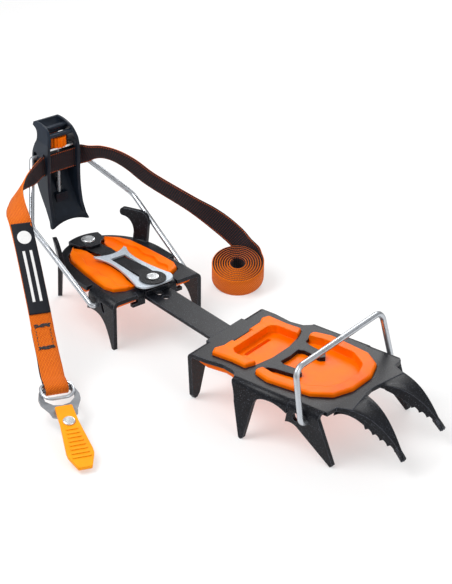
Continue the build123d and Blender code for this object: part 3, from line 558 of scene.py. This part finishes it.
def stitch(points, faces, centre, along, aside, up, length, radius):
    """One raised stitch: a spindle of six-sided rings added to the mesh lists."""
    rings = ((-0.5, 0.15), (-0.38, 0.8), (0, 1.0), (0.38, 0.8), (0.5, 0.15))
    sides = 6
    base = len(points)
    for share, swell in rings:
        for side in range(sides):
            turn = math.tau * side / sides
            spread = aside * math.cos(turn) + up * math.sin(turn)
            points.append(centre + along * (share * length) + spread * (swell * radius))
    for ring in range(len(rings) - 1):
        start = base + ring * sides
        for side in range(sides):
            here = start + side
            after = start + (side + 1) % sides
            faces.append((here, after, after + sides, here + sides))


def build_stitching():
    """Box stitch that closes the buckle loop: two dense bars joined by two side seams."""
    random.seed(4)
    bars = (56, 71)
    bar_half = 4.8
    bar_stitches = 34
    bar_radius = 0.42
    seam_stitches = 7
    seam_radius = 0.3
    seam_length = 1.9
    line = smooth_chain(hanging_stations(), 0.4)
    reaches = [station[0].dot(TAIL_DIR) for station in line[:-1]]
    points, faces = [], []

    def sew(distance, offset, across_strap, length, radius):
        """One stitch at a distance along the tail and an offset from its middle line."""
        target = (TAIL @ Vector((distance, 0, 0))).dot(TAIL_DIR)
        index = min(range(len(reaches)), key=lambda each: abs(reaches[each] - target))
        place = line[index][0]
        forward = (line[index + 1][0] - place).normalized()
        up = forward.cross(BUCKLE_SIDE)
        centre = place + BUCKLE_SIDE * offset + up * (WEB_THICKNESS / 2 + 0.1)
        along, sideways = (BUCKLE_SIDE, forward) if across_strap else (forward, BUCKLE_SIDE)
        slant = (along + sideways * random.uniform(-0.25, 0.25)).normalized()
        stitch(points, faces, centre, slant, sideways, up, length, radius)

    for bar in bars:
        for index in range(bar_stitches):
            offset = bar_half * (2 * index / (bar_stitches - 1) - 1)
            sew(bar + random.uniform(-0.9, 0.9), offset, True, random.uniform(1.6, 2.8), bar_radius)
    for side in (-bar_half, bar_half):
        for index in range(seam_stitches):
            share = (index + 0.5) / seam_stitches
            sew(bars[0] + (bars[1] - bars[0]) * share, side, False, seam_length, seam_radius)
    seam = make_object("box_stitching", points, faces, [thread_material()])
    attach(seam, "lever")


# Finish of the CAD parts


def soften_edges(node):
    """Welded, bevelled edges with clean shading; round wires are only welded."""
    part = frame["nodes"][node]
    weld = part.modifiers.new("weld", "WELD")
    weld.merge_threshold = 0.004 * MM
    if "wire" in node or "ring" in node:
        return
    bevel = part.modifiers.new("bevel", "BEVEL")
    bevel.width = 0.3 * MM
    bevel.segments = 2
    bevel.limit_method = "ANGLE"
    bevel.angle_limit = math.radians(38)
    bevel.harden_normals = True


def steel_looks():
    """Materials of the metal parts, each with the nodes that take it."""
    coated = coated_steel("coated_steel", (0.003, 0.0035, 0.0055), (0.12, 0.13, 0.16), 0.36)
    spring = coated_steel("spring_steel", (0.004, 0.004, 0.005), (0.08, 0.085, 0.09), 0.42)
    wires = drawn_steel("steel_wire")
    zinc = drawn_steel("zinc_steel", (0.3, 0.31, 0.33), 0.4, painted_turn_shade=0.3)
    bright = drawn_steel("bright_steel", (0.8, 0.82, 0.85), 0.25, painted_turn_shade=0)
    threaded = drawn_steel("threaded_rod", (0.5, 0.52, 0.55), 0.3, pitch=0.7)
    return [
        (coated, ["front_frame", "heel_frame", "linking_bar", "spring_clamp"]),
        (spring, ["lock_leaf_spring", "tension_carriage"]),
        (blasted_steel("blasted_steel"), ["lock_plate"]),
        (wires, ["toe_bail_wire", "heel_bail_wire", "buckle_ring"]),
        (zinc, ["buckle_plate"]),
        (bright, ["rear_rivet", "lock_pin", "bearing_strip", "tab_rivet"]),
        (threaded, ["adjusting_rod"]),
    ]


def plastic_looks():
    """Materials of the plastic and rubber parts, each with the nodes that take it."""
    orange = moulded_plastic("orange_plastic", (0.95, 0.135, 0.0), (1.0, 0.19, 0.0), roughness=0.34,
                             grain_scale=1200, grain_strength=0.08, shine=0.08, edge=1.2)
    lever = moulded_plastic("lever_plastic", (0.004, 0.007, 0.013), (0.014, 0.022, 0.036), roughness=0.36,
                            grain_scale=2200, grain_strength=0.3, shine=0.22)
    tab = moulded_plastic("tab_rubber", (1.0, 0.3, 0.0), (1.0, 0.37, 0.0), roughness=0.45,
                          grain_scale=1500, grain_strength=0.15, shine=0.2)
    return [
        (orange, ["front_anti_snow_plate", "heel_anti_snow_plate", "thumbwheel"]),
        (lever, ["heel_lever"]),
        (tab, ["pull_tab"]),
    ]


def finish_cad_parts():
    """Give every CAD part its material and soft edges."""
    for look, nodes in steel_looks() + plastic_looks():
        for node in nodes:
            part = frame["nodes"][node]
            part.data.materials.clear()
            part.data.materials.append(look)
            soften_edges(node)


# Studio


def build_floor():
    """Pale floor just under the points, with a little glow of its own so that shadows stay soft."""
    look, _, shader = new_material("studio_floor")
    shader.inputs["Base Color"].default_value = (0.5, 0.5, 0.5, 1)
    shader.inputs["Roughness"].default_value = 0.9
    shader.inputs["Specular IOR Level"].default_value = 0.1
    shader.inputs["Emission Color"].default_value = (1, 1, 1, 1)
    shader.inputs["Emission Strength"].default_value = 0.46
    reach = 9000
    height = GROUND / MM - 0.1
    corners = [(x * reach, y * reach, height) for x, y in ((-1, -1), (1, -1), (1, 1), (-1, 1))]
    floor = make_object("studio_floor", corners, [(0, 1, 2, 3)], [look])


def build_sky():
    """White surroundings that get brighter towards the top."""
    bpy.context.scene.view_settings.view_transform = "Standard"
    world = bpy.data.worlds.new("studio")
    bpy.context.scene.world = world
    world.use_nodes = True
    tree = world.node_tree
    rise = add_node(tree, "ShaderNodeSeparateXYZ", {0: coords(tree, "Generated")}).outputs[2]
    sky = tree.nodes["Background"]
    tree.links.new(remap(tree, rise, -0.05, 0.75, 0.2, 0.6), sky.inputs["Strength"])
    sky.inputs["Color"].default_value = (1, 1, 1, 1)


def build_lamp(name, place, spread, power):
    """Square soft light, in millimetres and watts, aimed at the middle of the crampon."""
    aim = Vector((-40, -10, 10))
    data = bpy.data.lights.new(name, "AREA")
    data.size = spread * MM
    data.energy = power
    lamp = bpy.data.objects.new(name, data)
    lamp.location = Vector(place) * MM
    lamp.rotation_euler = (aim - Vector(place)).to_track_quat("-Z", "Y").to_euler()
    bpy.context.scene.collection.objects.link(lamp)


def place_camera():
    """Long lens above the toe's right side, looking back along the crampon."""
    data = bpy.data.cameras.new("camera")
    data.sensor_width = 36.0
    data.lens = 114.0
    camera = bpy.data.objects.new("camera", data)
    right = Vector((0.62394, 0.78146, 0.00451))
    up = Vector((-0.37769, 0.29650, 0.87718))
    back = Vector((0.68414, -0.54901, 0.48014))
    camera.matrix_world = placed(right, up, back, Vector((813.9, -656.4, 602.7)) * MM)
    bpy.context.scene.collection.objects.link(camera)
    bpy.context.scene.camera = camera


finish_cad_parts()
build_webbing()
build_label()
build_stitching()
build_floor()
build_sky()
build_lamp("key", (-260, -420, 700), 500, 5.2)
build_lamp("fill", (700, 100, 420), 500, 1.4)
build_lamp("rim", (-500, 600, 520), 400, 2.4)
place_camera()
